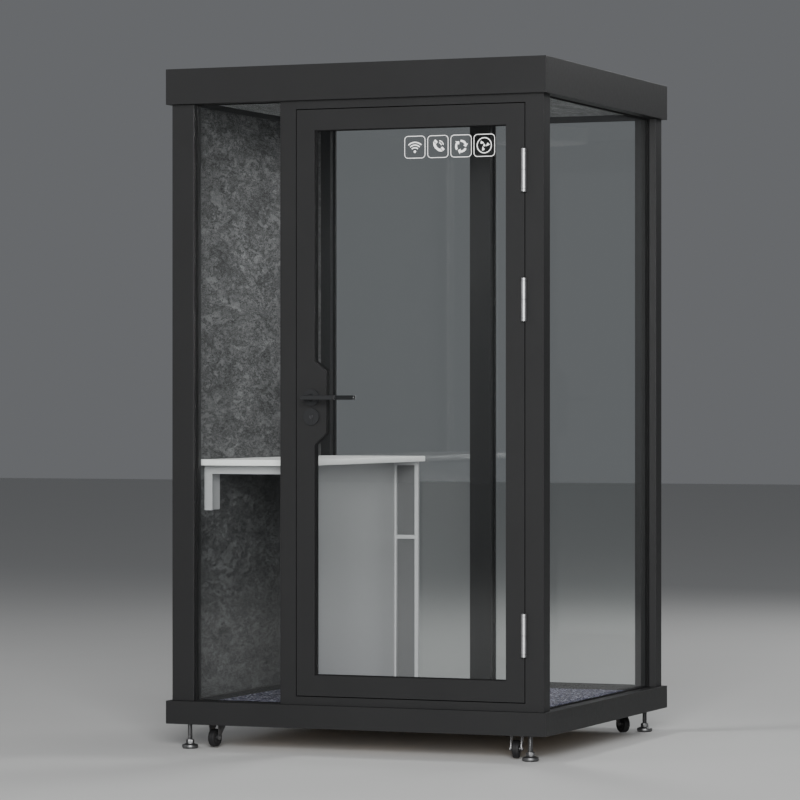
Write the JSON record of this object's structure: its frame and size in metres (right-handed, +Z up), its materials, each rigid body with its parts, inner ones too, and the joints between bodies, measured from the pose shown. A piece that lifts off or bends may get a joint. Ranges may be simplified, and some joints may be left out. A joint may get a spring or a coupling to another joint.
{
  "type": "telephone booth",
  "caption": "Free-standing telephone booth: glazed dark metal cabin with a hinged glass door, felt wall, carpet floor, ceiling lamp, roof fan and wall desk, on levelling feet with casters.",
  "frame": {"origin": "on the ground, at the middle of the bottom of the whole part's box, with the lever counted", "axes": "+X to the right of the door seen from outside, +Y towards the back wall, +Z up; the door is on the -Y side"},
  "size_m": [1.37, 1.336, 2.305],
  "materials": {
    "frame_paint": "matte fine-grain powder coat, dark grey",
    "profile_paint": "matte fine-grain powder coat, dark grey, on extruded profiles",
    "cover_paint": "matte powder coat",
    "board": "plain board",
    "carpet": "short loop pile, speckled blue grey",
    "ceiling_felt": "pressed acoustic felt",
    "wall_felt": "pressed acoustic felt, mottled",
    "wool": "mineral wool",
    "clear_glass": "clear laminated glass",
    "seal_rubber": "matte black rubber",
    "lamp_white": "white paint",
    "lamp_light": "opal plastic, lit from inside",
    "black_plastic": "moulded, fine grain",
    "desk_white": "white laminate on board",
    "desk_grey": "light grey laminate on board",
    "switch_plastic": "white moulded plastic",
    "satin_steel": "satin",
    "handle_dark": "satin dark grey paint",
    "foot_steel": "zinc plated",
    "fork_steel": "zinc-plated pressed steel",
    "wheel_rubber": "black rubber tread"
  },
  "bodies": {
    "booth": {"base_frame": "frame_paint", "floor_board": "board", "carpet": "carpet", "roof_frame": "frame_paint", "roof_cover": "cover_paint", "ceiling_panel": "ceiling_felt", "front_left_post": "profile_paint", "front_right_post": "profile_paint", "back_posts": "profile_paint", "front_mullion": "profile_paint", "back_mullion": "profile_paint", "door_head": "profile_paint", "door_sill": "profile_paint", "wall_skin": "frame_paint", "wall_core": "wool", "wall_felt": "wall_felt", "front_glass": "clear_glass", "right_glass": "clear_glass", "back_glass": "clear_glass", "glazing_seals": "seal_rubber", "door_seal": "seal_rubber", "lamp_housing": "lamp_white", "lamp_diffuser": "lamp_light", "fan_housing": "black_plastic", "desk_top": "desk_white", "desk_bracket": "desk_grey", "desk_support": "desk_grey", "switch_plate": "switch_plastic", "power_inlet": "black_plastic", "frame_hinge_leaves": "satin_steel", "strike_plate": "satin_steel"},
    "door": {"lock_stile": "profile_paint", "hinge_stile": "profile_paint", "door_rails": "profile_paint", "lock_block": "profile_paint", "door_glass": "clear_glass", "door_glass_seal": "seal_rubber", "lock_case": "satin_steel", "lock_cylinder": "satin_steel", "door_hinge_leaves": "satin_steel", "door_roses": "handle_dark"},
    "lever": {"outer_lever": "handle_dark", "inner_lever": "handle_dark"},
    "latch": {"latch_bolt": "satin_steel"},
    "dead_bolt": {"dead_bolt": "satin_steel"},
    "key": {"key_plug": "satin_steel"},
    "fan": {"fan_impeller": "black_plastic"},
    "rocker": {"switch_rocker": "switch_plastic"},
    "foot_front_left": {"foot_front_left": "foot_steel"},
    "fork_front_left": {"fork_front_left": "fork_steel"},
    "wheel_front_left": {"wheel_front_left": "wheel_rubber"},
    "foot_front_right": {"foot_front_right": "foot_steel"},
    "fork_front_right": {"fork_front_right": "fork_steel"},
    "wheel_front_right": {"wheel_front_right": "wheel_rubber"},
    "foot_back_left": {"foot_back_left": "foot_steel"},
    "fork_back_left": {"fork_back_left": "fork_steel"},
    "wheel_back_left": {"wheel_back_left": "wheel_rubber"},
    "foot_back_right": {"foot_back_right": "foot_steel"},
    "fork_back_right": {"fork_back_right": "fork_steel"},
    "wheel_back_right": {"wheel_back_right": "wheel_rubber"}
  },
  "joints": [
    {"name": "door_swing", "type": "hinge", "parent": "booth", "child": "door", "pos_m": [0.6045, -0.6023, 1.2], "axis": [0, 0, 1], "range_deg": [0, 165]},
    {"name": "lever_turn", "type": "hinge", "parent": "door", "child": "lever", "pos_m": [-0.154, -0.575, 1.191], "axis": [0, 1, 0], "range_deg": [0, 40], "stiffness_Nm_per_rad": 2, "springref_deg": -22.92},
    {"name": "latch_slide", "type": "slide", "parent": "door", "child": "latch", "axis": [1, 0, 0], "range_m": [0, 0.0101]},
    {"name": "key_turn", "type": "hinge", "parent": "door", "child": "key", "pos_m": [-0.154, -0.575, 1.127], "axis": [0, 1, 0], "range_deg": [0, 360]},
    {"name": "dead_bolt_slide", "type": "slide", "parent": "door", "child": "dead_bolt", "axis": [-1, 0, 0], "range_m": [0, 0.0201]},
    {"name": "fan_spin", "type": "hinge", "parent": "booth", "child": "fan", "pos_m": [0.38, 0.328, 2.24], "axis": [0, 0, 1], "continuous": true},
    {"name": "rocker_tilt", "type": "hinge", "parent": "booth", "child": "rocker", "pos_m": [-0.2325, -0.522, 1.254], "axis": [1, 0, 0], "range_deg": [0, 12]},
    {"name": "foot_height_front_left", "type": "slide", "parent": "booth", "child": "foot_front_left", "axis": [0, 0, 1], "range_m": [-0.015, 0.02]},
    {"name": "caster_swivel_front_left", "type": "hinge", "parent": "booth", "child": "fork_front_left", "pos_m": [-0.54, -0.482, 0.085], "axis": [0, 0, 1], "continuous": true},
    {"name": "caster_roll_front_left", "type": "hinge", "parent": "fork_front_left", "child": "wheel_front_left", "pos_m": [-0.54397, -0.51979, 0.035], "axis": [0.9945, -0.1045, 0], "continuous": true},
    {"name": "foot_height_front_right", "type": "slide", "parent": "booth", "child": "foot_front_right", "axis": [0, 0, 1], "range_m": [-0.015, 0.02]},
    {"name": "caster_swivel_front_right", "type": "hinge", "parent": "booth", "child": "fork_front_right", "pos_m": [0.54, -0.482, 0.085], "axis": [0, 0, 1], "continuous": true},
    {"name": "caster_roll_front_right", "type": "hinge", "parent": "fork_front_right", "child": "wheel_front_right", "pos_m": [0.5479, -0.51917, 0.035], "axis": [0.9781, 0.2079, 0], "continuous": true},
    {"name": "foot_height_back_left", "type": "slide", "parent": "booth", "child": "foot_back_left", "axis": [0, 0, 1], "range_m": [-0.015, 0.02]},
    {"name": "caster_swivel_back_left", "type": "hinge", "parent": "booth", "child": "fork_back_left", "pos_m": [-0.54, 0.538, 0.085], "axis": [0, 0, 1], "continuous": true},
    {"name": "caster_roll_back_left", "type": "hinge", "parent": "fork_back_left", "child": "wheel_back_left", "pos_m": [-0.57444, 0.52194, 0.035], "axis": [0.4226, -0.9063, 0], "continuous": true},
    {"name": "foot_height_back_right", "type": "slide", "parent": "booth", "child": "foot_back_right", "axis": [0, 0, 1], "range_m": [-0.015, 0.02]},
    {"name": "caster_swivel_back_right", "type": "hinge", "parent": "booth", "child": "fork_back_right", "pos_m": [0.54, 0.538, 0.085], "axis": [0, 0, 1], "continuous": true},
    {"name": "caster_roll_back_right", "type": "hinge", "parent": "fork_back_right", "child": "wheel_back_right", "pos_m": [0.56994, 0.5146, 0.035], "axis": [0.6157, 0.788, 0], "continuous": true}
  ],
  "couplings": [
    {"joint": "latch_slide", "follows": "lever_turn", "m_per_rad": 0.014324},
    {"joint": "dead_bolt_slide", "follows": "key_turn", "m_per_rad": 0.003183}
  ]
}
